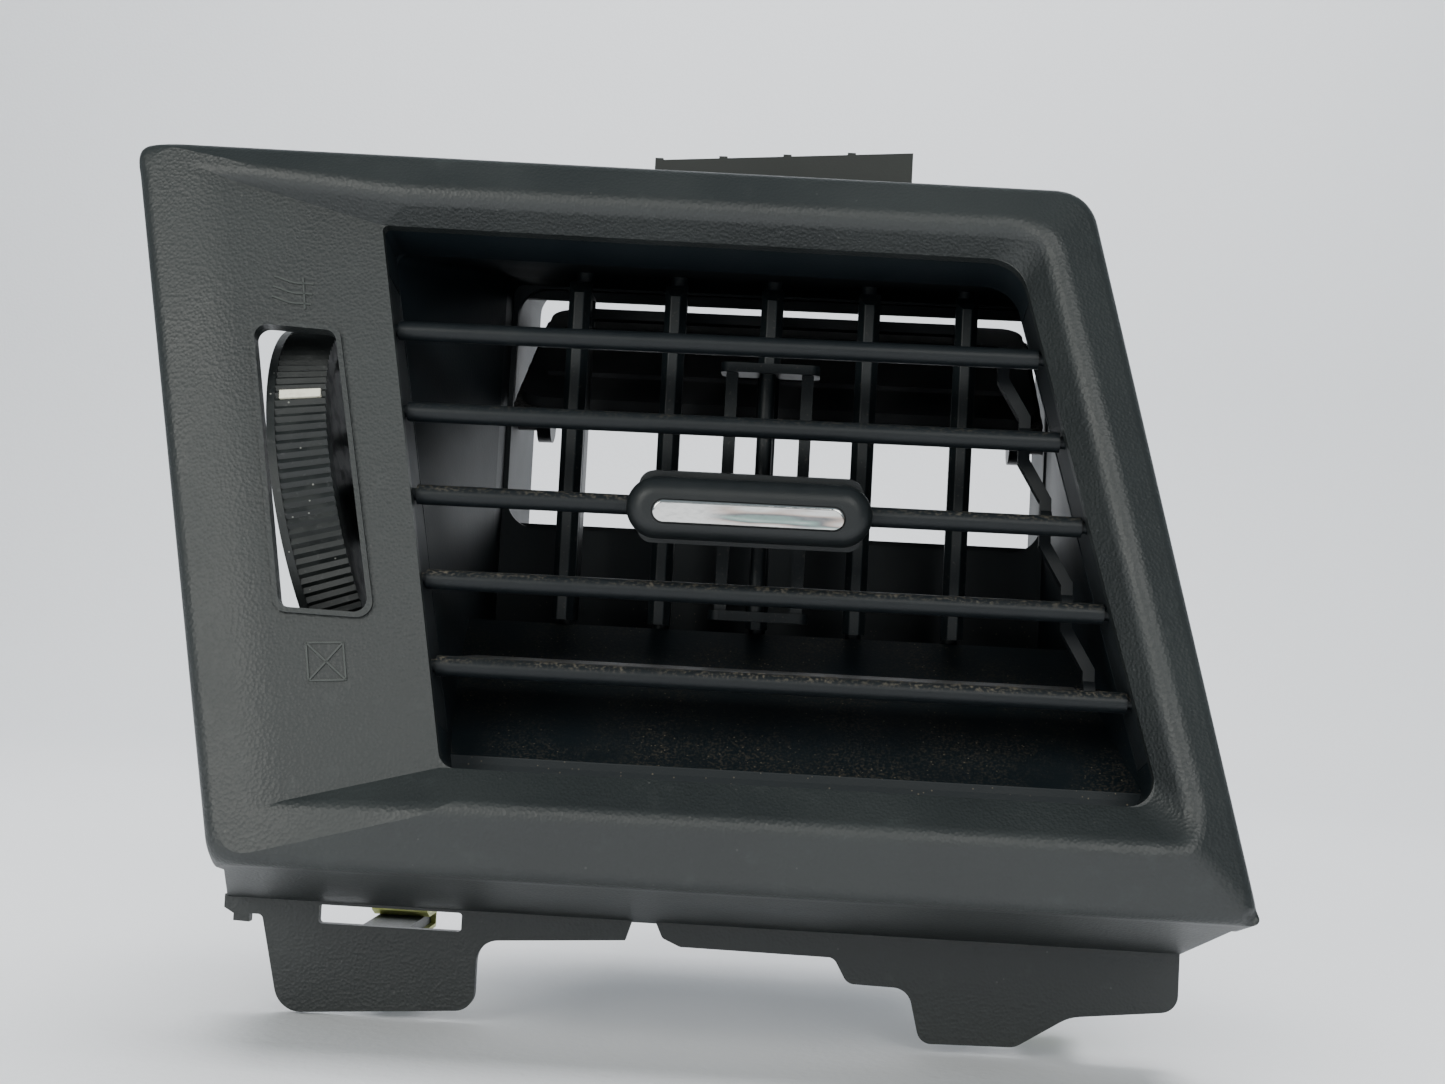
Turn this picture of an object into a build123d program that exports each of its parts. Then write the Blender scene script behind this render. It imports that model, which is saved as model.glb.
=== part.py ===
from build123d import *

import os
from math import cos, degrees, radians, sin, tan

# Dashboard air vent: a leaning slanted bezel with a raised ridge, five level front
# vanes, five upright rear vanes, a sliding knob and a thumb wheel with its damper.
# Units are millimetres. The origin is the centre of the rear collar's end face,
# +Y runs out of the collar and +Z is up.

os.makedirs("parts", exist_ok=True)

# Where the face lies
collar_depth = 112.0     # from the nose of the middle front vane to the collar's end
duct_rise = 23.5         # duct centre line above the middle front vane
face_shift = 1.0         # face centre left of the duct's centre line
face_lean = 12.0         # the face leans back at its top

nose = Vector(-face_shift, -collar_depth, -duct_rise)
face_up = Vector(0, sin(radians(face_lean)), cos(radians(face_lean)))
face_out = Vector(0, -cos(radians(face_lean)), sin(radians(face_lean)))


def face(height):
    """Plane parallel to the leaning face, a height in front of the vane noses."""
    return Plane(origin=nose + face_out * height, x_dir=(1, 0, 0), z_dir=face_out)


def upright(depth):
    """Plane across the duct, a depth behind the middle vane's nose."""
    return Plane(origin=nose + Vector(0, depth, 0), x_dir=(1, 0, 0), z_dir=(0, -1, 0))


def sideways(across):
    """Plane along the duct, drawn as depth and height."""
    return Plane(origin=nose + Vector(across, 0, 0), x_dir=(0, 1, 0), z_dir=(1, 0, 0))


def level(height):
    """Level plane at a height above the middle vane's nose."""
    return Plane(origin=nose + Vector(0, 0, height), x_dir=(1, 0, 0), z_dir=(0, 0, 1))


# Bezel outlines: a side is its place at mid height and its slant
top_fall = 0.013         # top edges fall a little towards the right
edge_left, edge_right = (-101.6, 0.234), (69.6, 0.229)
edge_low, edge_high = -65.8, 60.7
ridge_left, ridge_right = (-53.5, 0.17), (61.6, 0.255)
ridge_low, ridge_high = -54.8, 51.3
mouth_left, mouth_right = (-59.4, 0.21), (56.4, 0.265)
mouth_low, mouth_high = -47.8, 47.4
fan_left, fan_low, fan_high = (-88.5, 0.235), -55.8, 54.3
fan_height = 7.1         # where the ridge runs out on the left
edge_height = 6.0        # bezel's rim, in front of the vane noses
ridge_height = 10.0
mouth_height = 4.0
skirt_end = -8.0
wall = 2.2
edge_radii = (0.0, 8.0, 0.0, 0.0)
rim_round, corner_round = 3.0, 1.2
mouth_radii = (1.0, 7.0, 4.5, 3.0)
ridge_round = 3.5
crease_round = 30.0      # the left panel turns outwards softly
ridge_radii = (9.0, 6.0)
funnel_radii = (8.0, 5.5) # funnel's corners on the right, upper and lower
block = (400.0, 300.0, 30.0)


def corners(left, right, low, high, grow=0.0):
    """Corners of a slanted panel, clockwise from the top left."""
    points = []
    for side, way, edge in ((left, -1, 1), (right, 1, 1), (right, 1, -1), (left, -1, -1)):
        across = high + grow if edge > 0 else low - grow
        along = side[0] + way * grow - side[1] * across
        points.append((along, across - top_fall * along if edge > 0 else across))
    return points


def panel(points, radii):
    """Adds a closed outline with rounded corners to the open sketch."""
    Polygon(*points, align=None)
    for point, radius in zip(points, radii):
        if radius > 0:
            fillet(vertices().sort_by_distance(Vector(*point))[0], radius)


def edge_corners(grow=0.0):
    return corners(edge_left, edge_right, edge_low, edge_high, grow)


def mouth_corners(grow=0.0, sides=0.0):
    """Corners of the mouth, grown all round and further at its sides."""
    left, right = (mouth_left[0] - sides, mouth_left[1]), (mouth_right[0] + sides, mouth_right[1])
    return corners(left, right, mouth_low, mouth_high, grow)


def spot(point, height):
    """Point of the leaning face, a height in front of the vane noses."""
    return nose + Vector(point[0], 0, 0) + face_up * point[1] + face_out * height


def slope(start, end, beyond):
    """Plane through three points, facing the inside of an outline walked clockwise."""
    return Plane(origin=start, x_dir=end - start, z_dir=(end - start).cross(beyond - start))


def cut_by(planes, shift=0.0):
    """Trims the open part to what lies in front of every plane."""
    for plane in planes:
        split(bisect_by=plane.offset(shift), keep=Keep.TOP)


def rise(point):
    """Height of a point in front of the plane through the vane noses."""
    return (point - nose).dot(face_out)


# Lower return, its tabs, and what holds the bezel and the housing
flange_depth = 20.0
flange_top = -74.0
flange_wall = 2.0
flange_left, flange_right = -94.0, 79.0
return_sink, return_inset = 0.1, 2.4
left_tab = [
    (-94.0, -73.6), (-94.0, -76.0), (-92.2, -77.0), (-92.2, -78.3), (-89.2, -78.4), (-89.2, -76.9),
    (-86.9, -76.9), (-82.8, -94.4), (-47.1, -91.9), (-47.1, -79.3), (-20.2, -77.6), (-19.0, -73.6),
]
left_tab_radii = (0, 0, 0, 0, 0, 0, 1.0, 5.0, 3.4, 4.0, 0, 0)
right_tab = [
    (-15.0, -73.6), (-13.5, -76.8), (-10.2, -78.2), (17.6, -78.4), (20.2, -82.9), (31.2, -83.1),
    (33.6, -92.7), (50.6, -92.3), (60.0, -86.4), (79.1, -84.3), (79.1, -73.6),
]
right_tab_radii = (0, 1.0, 1.5, 1.8, 2.2, 3.5, 2.6, 3.4, 8.0, 3.2, 0)
window_middle, window_level = -63.3, -76.2
window_length, window_height, window_round = 26.3, 3.4, 0.6
flange_seat = mouth_height - wall
screw_places = [(-45.0, 54.0), (30.0, 53.0), (-38.0, -53.5), (55.0, -53.5)]
screw_radius = 1.5
screw_head, screw_head_wall = 3.0, 2.0
screw_slot_length, screw_slot_width, screw_slot_depth = 3.6, 0.9, 1.0
screw_play = 0.2         # round a screw in the housing's flange
screw_boss = 3.4
screw_boss_length = 5.0
screw_length = 4.0
locating_pins = [((-99.0, 44.0), 4.5), ((-78.0, -52.0), 5.5)]
locating_radius = 3.0
locating_boss = 4.0
locating_end = -20.0
clip_width = 10.7
clip_length = 9.0
clip_tongue = 2.0
clip_sheet = 0.7
clip_fit = 0.05
clip_flare = 1.2
clip_straight = 0.7      # share of a clip's length that lies flat
tongue_end = 46.0
clip_places = [(-70.0, 14.0, 57.2), (38.0, 14.0, 57.2), (-65.1, 20.5, -79.5), (60.0, 20.5, -79.5)]


# Front vanes, their strips and the links
vane_count = 5
vane_pitch = 15.0
vane_nose = 1.75
vane_chord = 14.0
vane_rise = 6.0          # blades rise towards the back
vane_gap = 0.7           # between a vane's end and the strip beside it
vane_root = 1.5
vane_tip = 1.0
pin_radius = 1.1
pin_length = 2.8
pin_fit = 0.08           # radial clearance of every pin in its hole
strip_width = 3.2
strip_front = mouth_height - wall - 0.1
strip_depth = 10.0
strip_back = strip_front - strip_depth - 0.6
left_trim_start, left_trim = 6.5, 5.0      # blade's corners cut back behind the strips
right_trim_start, right_trim = 1.0, 3.4
notch_front = 6.0
link_straight = 4.0
strip_half = 40.0
crank_back = 9.0         # link pins behind the vane noses
crank_pin = 1.0
link_inset = 5.2         # link from the vanes' right ends
link_width = 2.0
link_eye = 2.3
notch_half = 1.9

vane_rows = [vane_pitch * (2 - index) for index in range(vane_count)]
back_way = Vector(0, cos(radians(vane_rise)), sin(radians(vane_rise)))
rise_way = Vector(0, -sin(radians(vane_rise)), cos(radians(vane_rise)))


def vane_left(row):
    return mouth_left[0] - mouth_left[1] * row + vane_gap


def vane_right(row):
    return mouth_right[0] - mouth_right[1] * row - vane_gap


def vane_section(row, across):
    """Plane across a front vane, drawn as distance behind its nose and height."""
    start = nose + face_up * row + Vector(across, 0, 0)
    return Plane(origin=start, x_dir=back_way, z_dir=(1, 0, 0))


# Duct
barrel_depth = 58.0      # front barrel ends here and the level part begins
barrel_left, barrel_right, barrel_top = -55.0, 56.5, 49.0
barrel_sink = -40.0
barrel_round, block_round, flange_round = 2.0, 3.0, 4.0
ramp_start = -47.0       # the floor's ramp at the barrel's mouth
floor_height = -21.0
floor_depth = 35.0
frame_depth = 67.0       # window frame in front of the damper
frame_wall = 2.0
window_half_width = 55.0
window_half_height = 25.0
duct_half_width = 57.0
duct_half_height = 32.5
duct_round = 6.0
flange_grow, flange_sides = 9.5, 6.8
ramp_depth = -4.0
stop_wall = 1.8
upper_stop = 71.0
lower_stop = 77.8
tab_ribs = 4
tab_rib_inset = 0.8
tab_rib_pitch = 12.6
tab_rib_width, tab_rib_stand = 1.6, 0.4
housing_flange = 2.2
seal_inset = 1.0
seal_length = 8.0
seal_wall = 4.0
rail_half = 43.0
rail_width = 9.0
rail_wall, rail_sink = 4.6, 1.5
bore_reach = 12.0        # bores of the rear vanes go right through the rails
tab_depth = 45.0
tab_left, tab_right = -25.0, 25.6
tab_low_height, tab_high_height = 71.2, 74.6
tab_slope = (tab_high_height - tab_low_height) / (tab_right - tab_left)
tab_wall = 2.2

# Rear vanes
rear_pitch = 18.4
rear_pivot = 40.0
rear_front = 32.0
rear_back = 54.0
rear_nose = 2.1          # half the width of the faceted nose
rear_face, rear_cheek, rear_waist = 0.9, 1.5, 2.9
rear_taper = 5.4
rear_slope = 2.4         # nose slopes back at its top
rear_wall = 1.6
rear_top = 44.5
rear_low = -20.2
rear_pin = 1.6
rear_pin_top = 50.4
rear_pin_low = -24.2
rear_crank = 10.5
rear_link_height = 40.8
rear_link_wall = 2.0
rear_link_half = 1.8
rear_notch = 5.4
rear_notch_front = 7.0
fork_room_low, fork_room_high = -13.0, 19.0    # middle vane's nose is cut back here for the fork
fork_room_end = 37.0

# Cage on the middle rear vane, driven by the knob's fork
cage_reach = 12.0
cage_rod = 1.5
cage_left, cage_right = -6.6, 7.5
cage_post = 2.2
cage_plate = 1.8
cage_plate_width, cage_plate_round = 8.0, 2.0
cage_plate_shift = 1.5
cage_high = 27.4
cage_low = -18.8
fork_fit = 0.5
fork_prong = 1.4

# Damper
damper_lift = 15.2       # blade's middle plane above its axis
damper_depth = 89.7
damper_tilt = 30.0
damper_half = 25.5
damper_half_width = 52.5
damper_wall = 2.2
damper_round = 5.0
foam_wall = 2.0
foam_edge = 2.0          # foam stands out beyond the blade
foam_round = 6.0
foam_gap = 0.4           # between the foam and the blade's arms
arm_wall = 3.0
arm_spread = 15.0        # half the width of an arm where it meets the blade
blade_rib, blade_rib_stand = 1.6, 1.0
blade_rib_inset = 4.0
shaft_radius = 2.5
boss_radius = 5.0
boss_length = 4.0
boss_end = -66.2
lever_wall = 3.0
lever_fit = 0.02         # lever is pressed on to the shaft
lever_outer = boss_end - 3.3
crank = 14.0
crank_angle = 83.0       # crank's direction in the duct's side view with the damper open
lever_width = 7.0
rod_pin = 1.5
rod_slack = 0.55         # loose eye takes up the wheel's slanted axis
rod_wall = 2.2
rod_middle = -71.9
rod_ball = 2.2           # ball on the wheel's leaning crank pin

# Thumb wheel
wheel_across, wheel_up, wheel_top = -78.45, 2.95, 7.72
wheel_slant = 12.73
wheel_yaw = 4.27
wheel_radius = 36.0
wheel_width = 9.9
wheel_border = 1.4
wheel_cone = 12.0
wheel_sweep = 96.0       # half the angle of the rim
rib_pitch = 1.8
rib_depth = 0.5
rim_wall = 3.0
web_wall = 2.0
hub_radius, hub_inset = 6.0, 1.0
axle_radius = 2.5
mark_angle = 22.4
mark_inset = 0.8
mark_half = 1.5
mark_depth = 1.2
mark_stand = 0.1
mark_sense = -1
rod_width = 4.0
rod_eye = 3.6

slot_left, slot_right = (-84.5, 0.216), (-68.1, 0.232)
slot_low, slot_high = -23.6, 27.3
slot_rim = 0.9
slot_stand = 0.7

slot_round = 2.6
axle_seat = 5.2          # wheel's hub ends here, measured along the axle
axle_boss = 15.0
hub_gap = 0.1
axle_thread = 1.6
axle_screw = 9.0
axle_head = 1.8
axle_slot_length, axle_slot_width, axle_slot_depth, axle_slot_round = 5.6, 1.2, 1.0, 0.3

# Knob
knob_shift = -0.85
knob_length = 41.9
knob_height = 10.6
knob_front = 8.0
knob_back = 5.0
knob_crown = 3.2
shoulder_length = 38.5
shoulder_height, shoulder_round, shoulder_front = 12.4, 2.5, 1.5
trim_length = 32.6
trim_height = 4.0
trim_depth = 1.6
trim_stand = 0.6
trim_fit = 0.1
trim_drop = 0.4          # insert sits below the knob's middle
channel_half = 2.1
fork_start = 3.0
fork_bridge, fork_bridge_wall = 16.6, 1.8
fork_slot = 2.5
pad_length = 10.0
pad_height = 3.0
pad_wall = 1.4
fork_half = 1.1          # from the blade's middle to the fork's inner face
fork_wall = 1.4
fork_end = 34.0
fork_width = 16.0

vane_names = ["front_vane_%d" % (index + 1) for index in range(vane_count)]


def finish(solid, label):
    """Labels a finished piece and writes it out."""
    solid.label = label
    export_step(solid, "parts/%s.step" % label)


# Slopes of the bezel: outwards from the ridge and inwards down to the mouth
edge = edge_corners()
ridge = corners(ridge_left, ridge_right, ridge_low, ridge_high)
mouth = mouth_corners()
fan = corners(fan_left, ridge_right, fan_low, fan_high)
outer_slopes = [
    slope(spot(edge[side], edge_height), spot(edge[side - 3], edge_height), spot(ridge[side], ridge_height))
    for side in range(4)
]
panel_slope = slope(spot(mouth[3], mouth_height), spot(mouth[0], mouth_height), spot(fan[0], fan_height))
right_slope = slope(spot(mouth[1], mouth_height), spot(mouth[2], mouth_height), spot(ridge[2], ridge_height))
main_slopes = [
    slope(spot(mouth[0], mouth_height), spot(mouth[1], mouth_height), spot(ridge[1], ridge_height)),
    right_slope,
    slope(spot(mouth[2], mouth_height), spot(mouth[3], mouth_height), spot(ridge[3], ridge_height)),
    panel_slope,
]
fan_slopes = [
    slope(spot(mouth[0], mouth_height), spot(ridge[0], ridge_height), spot(fan[0], fan_height)),
    right_slope,
    slope(spot(mouth[3], mouth_height), spot(fan[3], fan_height), spot(ridge[3], ridge_height)),
    panel_slope,
]

def funnel_void(slopes, floor, shift=0.0):
    """What the funnel takes away above a floor height, between slopes moved by a shift."""
    with BuildPart() as void:
        with BuildSketch(face(floor)):
            Rectangle(block[0], block[1])
        extrude(amount=block[2])
        cut_by(slopes, shift)
        for corner, radius in zip((mouth[1], mouth[2]), funnel_radii):
            seam = edges().sort_by_distance(spot(corner, mouth_height + 3))[0]
            fillet(seam, radius)
    return void.part


# Slot of the thumb wheel with its standing rim, slanted like the bezel
slot = corners(slot_left, slot_right, slot_low, slot_high)
slot_hole = corners(slot_left, slot_right, slot_low, slot_high, -slot_rim)

with BuildPart() as slot_frame:
    with BuildSketch(face(mouth_height - wall)):
        panel(slot, (slot_round,) * 4)
    extrude(amount=ridge_height)
    split(bisect_by=panel_slope.offset(slot_stand), keep=Keep.BOTTOM)
    split(bisect_by=panel_slope.offset(-wall / 2), keep=Keep.TOP)


def on_rim(e):
    """Whether an edge runs round the rim, between the skirt and the outer slopes."""
    heights = sorted(rise(v.center()) for v in e.vertices())
    level_run = abs(e.tangent_at(0.5).dot(face_out)) < 0.5 and heights[-1] - heights[0] < 1.2
    return level_run and abs(rise(e.center()) - edge_height) < 1.3 and heights[-1] < edge_height + 1.5


def at_corner(e):
    """Whether an edge is one of the skirt's three sharp corners."""
    upright_run = e.length > 8 and abs(e.tangent_at(0.5).dot(face_out)) > 0.99
    distance = min((e.center() - spot(edge[i], rise(e.center()))).length for i in (0, 2, 3))
    return upright_run and distance < 0.5


def on_crease(e):
    """Whether an edge is the long shallow crease on the left panel."""
    return e.length > 80 and abs(rise(e.center()) - fan_height) < 0.4 and (e.center() - nose).X < -80


def on_crest(e):
    """Whether an edge belongs to the ridge's crest."""
    lowest = min(rise(v.center()) for v in e.vertices())
    return lowest > fan_height - 0.3 and rise(e.center()) > fan_height + 0.2


def at_low_end(e):
    """Whether an edge lies where the ridge runs out at the lower left."""
    return (e.center() - nose).X < ridge[3][0] and (e.center() - nose).Z < 0


# The hollow back, kept apart so that the skin has one thickness
with BuildPart() as hollow:
    with BuildSketch(face(skirt_end - 1)):
        panel(edge_corners(-wall), edge_radii)
    extrude(amount=ridge_height + 1 - skirt_end)
    cut_by(outer_slopes, wall)
    add(funnel_void(main_slopes, mouth_height - wall, -wall), mode=Mode.SUBTRACT)
    add(funnel_void(fan_slopes, mouth_height - wall, -wall), mode=Mode.SUBTRACT)

# Bosses for the housing's screws, ending inside the skin
with BuildPart() as bosses:
    with BuildSketch(face(flange_seat)):
        with Locations(*screw_places):
            Circle(screw_boss)
    extrude(amount=screw_boss_length)
    add(funnel_void(main_slopes, mouth_height - wall / 2, -wall / 2), mode=Mode.SUBTRACT)
    add(funnel_void(fan_slopes, mouth_height - wall / 2, -wall / 2), mode=Mode.SUBTRACT)

# Bezel: skirt, ridge, funnel, wheel slot, lower return with its tabs, bosses and pins
return_start = spot((0, edge_low + return_sink), edge_height - rim_round)
return_back = nose + Vector(0, flange_depth, flange_top)
return_way = return_back - return_start
return_plane = Plane(origin=return_start, x_dir=(1, 0, 0), z_dir=Vector(1, 0, 0).cross(return_way))

with BuildPart() as bezel:
    with BuildSketch(face(skirt_end)):
        panel(edge, edge_radii)
    extrude(amount=ridge_height + 1 - skirt_end)
    cut_by(outer_slopes)
    for corner, radius in zip((ridge[1], ridge[2]), ridge_radii):
        fillet(edges().sort_by_distance(spot(corner, ridge_height - 1))[0], radius)
    fillet(edges().filter_by(on_rim), rim_round)
    fillet(edges().filter_by(at_corner), corner_round)
    add(funnel_void(main_slopes, mouth_height), mode=Mode.SUBTRACT)
    add(funnel_void(fan_slopes, mouth_height), mode=Mode.SUBTRACT)
    # The ridge's crest is rounded first, then its lower left end
    fillet(edges().filter_by(on_crest).filter_by(lambda e: not at_low_end(e)), ridge_round)
    fillet(edges().filter_by(on_crest).filter_by(at_low_end).filter_by(GeomType.LINE), ridge_round)
    fillet(edges().filter_by(on_crease), crease_round)
    add(hollow.part, mode=Mode.SUBTRACT)
    with BuildSketch(face(mouth_height + 1)):
        panel(mouth, mouth_radii)
    extrude(amount=skirt_end, mode=Mode.SUBTRACT)
    add(slot_frame.part)
    with BuildSketch(face(skirt_end)):
        panel(slot_hole, (slot_round - slot_rim / 2,) * 4)
    extrude(amount=ridge_height - skirt_end, mode=Mode.SUBTRACT)
    # Lower return, running back and down from the bottom edge
    with BuildSketch(return_plane):
        Polygon(
            (edge[3][0] + return_inset, 0),
            (edge[2][0] - return_inset, 0),
            (flange_right, return_way.length + flange_wall),
            (flange_left, return_way.length + flange_wall),
            align=None,
        )
    extrude(amount=wall)
    # Flange and its two tabs, hanging behind the neighbouring trim
    with BuildSketch(upright(flange_depth)):
        panel(left_tab, left_tab_radii)
        panel(right_tab, right_tab_radii)
        with Locations((window_middle, window_level)):
            RectangleRounded(window_length, window_height, window_round, mode=Mode.SUBTRACT)
    extrude(amount=-flange_wall)
    add(bosses.part)
    for place in screw_places:
        with BuildSketch(face(flange_seat)):
            with Locations(place):
                Circle(screw_radius + pin_fit)
        extrude(amount=screw_length, mode=Mode.SUBTRACT)
    # Locating pins
    for place, top in locating_pins:
        with BuildSketch(face(locating_end)):
            with Locations(place):
                Circle(locating_radius)
        extrude(amount=top - locating_end)
        with BuildSketch(face(skirt_end)):
            with Locations(place):
                Circle(locating_boss)
        extrude(amount=top - skirt_end)
    # Tongues that carry the retaining clips
    for across, start, height in clip_places:
        with BuildSketch(level(height - clip_tongue / 2)):
            with Locations((across, (start + tongue_end) / 2)):
                Rectangle(clip_width - 2, tongue_end - start)
        extrude(amount=clip_tongue)
finish(bezel.part, "bezel")

# Housing's front block, barrel, level part and rear collar in one shell

def barrel_corners(grow):
    return [
        (barrel_left - grow, barrel_top + grow),
        (barrel_right + grow, barrel_top + grow),
        (barrel_right + grow, barrel_sink - grow),
        (barrel_left - grow, barrel_sink - grow),
    ]


def barrel(grow, floor):
    """Barrel between the front block and the window frame, grown by a wall."""
    with BuildPart() as shape:
        with BuildSketch(face(strip_back)):
            panel(mouth_corners(grow), (barrel_round,) * 4)
        with BuildSketch(upright(barrel_depth)):
            panel(barrel_corners(grow), (barrel_round,) * 4)
        loft(ruled=True)
        with BuildSketch(upright(barrel_depth)):
            panel(barrel_corners(grow), (barrel_round,) * 4)
        extrude(amount=barrel_depth - frame_depth)
        # Ramp and level floor
        with BuildSketch(sideways(barrel_left - 30)):
            Polygon(
                (ramp_depth, ramp_start + floor),
                (floor_depth, floor_height + floor),
                (frame_depth + 1, floor_height + floor),
                (frame_depth + 1, barrel_sink - 30),
                (ramp_depth, barrel_sink - 30),
                align=None,
            )
        extrude(amount=barrel_right - barrel_left + 60, mode=Mode.SUBTRACT)
    return shape.part


def strip_points(side, way, grow=0.0):
    """Outline of a bearing strip beside the mouth, or of its pocket when grown."""
    high, low = strip_half + grow, -strip_half - grow
    inner = -way * strip_width if grow > 0 else 0.0
    outer = way * (strip_width + grow)
    return [
        (side[0] - side[1] * high + inner, high),
        (side[0] - side[1] * high + outer, high),
        (side[0] - side[1] * low + outer, low),
        (side[0] - side[1] * low + inner, low),
    ]


duct_width = 2 * duct_half_width
duct_height = 2 * duct_half_height
sleeve_width, sleeve_height, sleeve_round = duct_width + 2 * wall, duct_height + 2 * wall, duct_round + wall
duct_centre = (face_shift, duct_rise)
pivot = nose + Vector(face_shift, damper_depth, duct_rise)

# Wheel axle: its line is square to the wheel's rim
axle_way = Vector(cos(radians(wheel_slant)) * cos(radians(wheel_yaw)), 0, 0)
axle_way = axle_way + face_up * (sin(radians(wheel_slant)) * cos(radians(wheel_yaw)))
axle_way = axle_way + face_out * sin(radians(wheel_yaw))
front_way = (face_out - axle_way * face_out.dot(axle_way)).normalized()
axle = spot((wheel_across, wheel_up), wheel_top) - front_way * wheel_radius

# Crank pin of the wheel: its direction in the side view is that of the damper's crank
crank_arm = Vector(0, crank * cos(radians(crank_angle)), crank * sin(radians(crank_angle)))
crank_arm = crank_arm + Vector(-(crank_arm.Y * axle_way.Y + crank_arm.Z * axle_way.Z) / axle_way.X, 0, 0)
crank_at = axle + crank_arm
rod_cross = crank_at + axle_way * ((nose.X + rod_middle - crank_at.X) / axle_way.X)

with BuildPart() as housing:
    with BuildSketch(face(strip_front)):
        panel(mouth_corners(wall, strip_width), (block_round,) * 4)
    extrude(amount=strip_back - strip_front)
    with BuildSketch(face(strip_front)):
        panel(mouth_corners(flange_grow, flange_sides - flange_grow), (flange_round,) * 4)
    extrude(amount=-housing_flange)
    add(barrel(wall, -wall))
    with BuildSketch(upright(frame_depth)):
        with Locations(duct_centre):
            RectangleRounded(sleeve_width, sleeve_height, sleeve_round)
    extrude(amount=frame_depth - collar_depth)
    # Wall that closes the step under the window
    with BuildSketch(upright(frame_depth)):
        with Locations((face_shift, (floor_height - wall + duct_rise) / 2)):
            Rectangle(sleeve_width, duct_rise - floor_height + wall)
    extrude(amount=-frame_wall)
    # Bearing rails for the rear vanes, above the roof and below the floor
    with BuildSketch(level(barrel_top - rail_sink)):
        with Locations((0, rear_pivot)):
            Rectangle(2 * rail_half, rail_width)
    extrude(amount=rail_wall)
    with BuildSketch(level(floor_height)):
        with Locations((0, rear_pivot)):
            Rectangle(2 * rail_half, rail_width)
    extrude(amount=-rail_wall)
    # Bearing bosses of the damper
    with BuildSketch(Plane(origin=(0, pivot.Y, pivot.Z), x_dir=(0, 1, 0), z_dir=(1, 0, 0))):
        Circle(boss_radius)
    extrude(amount=duct_half_width + wall + boss_length)
    with BuildSketch(Plane(origin=(0, pivot.Y, pivot.Z), x_dir=(0, 1, 0), z_dir=(1, 0, 0))):
        Circle(boss_radius)
    extrude(amount=boss_end - face_shift)
    # Boss of the wheel's axle
    with BuildSketch(Plane(origin=axle + axle_way * axle_seat, x_dir=front_way, z_dir=axle_way)):
        Circle(hub_radius)
    extrude(amount=axle_boss)
    # Roof tab with its ribs
    with BuildSketch(upright(tab_depth)):
        Polygon(
            (tab_left, barrel_top),
            (tab_right, barrel_top),
            (tab_right, tab_high_height),
            (tab_left, tab_low_height),
            align=None,
        )
    extrude(amount=-tab_wall)
    with BuildSketch(upright(tab_depth)):
        for index in range(tab_ribs):
            across = tab_left + tab_rib_inset + tab_rib_pitch * index
            height = tab_low_height + tab_slope * (across - tab_left)
            with Locations((across, (barrel_top + height + tab_rib_stand) / 2)):
                Rectangle(tab_rib_width, height + tab_rib_stand - barrel_top)
    extrude(amount=-2 * tab_wall)
    # Inside of the front block, barrel and duct
    with BuildSketch(face(strip_front)):
        panel(mouth_corners(), mouth_radii)
    extrude(amount=strip_back - strip_front, mode=Mode.SUBTRACT)
    for side, way in ((mouth_left, -1), (mouth_right, 1)):
        with BuildSketch(face(strip_front)):
            Polygon(*strip_points(side, way, 0.1), align=None)
        extrude(amount=-strip_depth - 0.1, mode=Mode.SUBTRACT)
    add(barrel(0.0, 0.0), mode=Mode.SUBTRACT)
    with BuildSketch(upright(frame_depth - 1)):
        with Locations(duct_centre):
            RectangleRounded(2 * window_half_width, 2 * window_half_height, duct_round)
    extrude(amount=-frame_wall - 2, mode=Mode.SUBTRACT)
    with BuildSketch(upright(frame_depth + frame_wall)):
        with Locations(duct_centre):
            RectangleRounded(duct_width, duct_height, duct_round)
    extrude(amount=frame_depth + frame_wall - collar_depth, mode=Mode.SUBTRACT)
    # Stops of the damper: over the window in front, under it behind
    with BuildSketch(upright(upper_stop)):
        with Locations((face_shift, duct_rise + (damper_half + duct_half_height) / 2 - 1)):
            Rectangle(duct_width, duct_half_height - damper_half + 2)
    extrude(amount=-stop_wall)
    with BuildSketch(upright(lower_stop)):
        with Locations((face_shift, duct_rise - (damper_half + duct_half_height) / 2 + 1)):
            Rectangle(duct_width, duct_half_height - damper_half + 2)
    extrude(amount=-stop_wall)
    # Bores
    for index in range(vane_count):
        with BuildSketch(level(barrel_top + bore_reach / 2)):
            with Locations((rear_pitch * (index - 2), rear_pivot)):
                Circle(rear_pin + pin_fit)
        extrude(amount=-bore_reach, mode=Mode.SUBTRACT)
        with BuildSketch(level(floor_height + bore_reach / 4)):
            with Locations((rear_pitch * (index - 2), rear_pivot)):
                Circle(rear_pin + pin_fit)
        extrude(amount=-bore_reach, mode=Mode.SUBTRACT)
    with BuildSketch(Plane(origin=(0, pivot.Y, pivot.Z), x_dir=(0, 1, 0), z_dir=(1, 0, 0))):
        Circle(shaft_radius + pin_fit)
    extrude(amount=100, both=True, mode=Mode.SUBTRACT)
    with BuildSketch(Plane(origin=axle + axle_way * axle_seat, x_dir=front_way, z_dir=axle_way)):
        Circle(axle_thread + pin_fit)
    extrude(amount=axle_screw, mode=Mode.SUBTRACT)
    for place in screw_places:
        with BuildSketch(face(strip_front)):
            with Locations(place):
                Circle(screw_radius + screw_play)
        extrude(amount=-housing_flange - 1, mode=Mode.SUBTRACT)
finish(housing.part, "housing")

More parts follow.
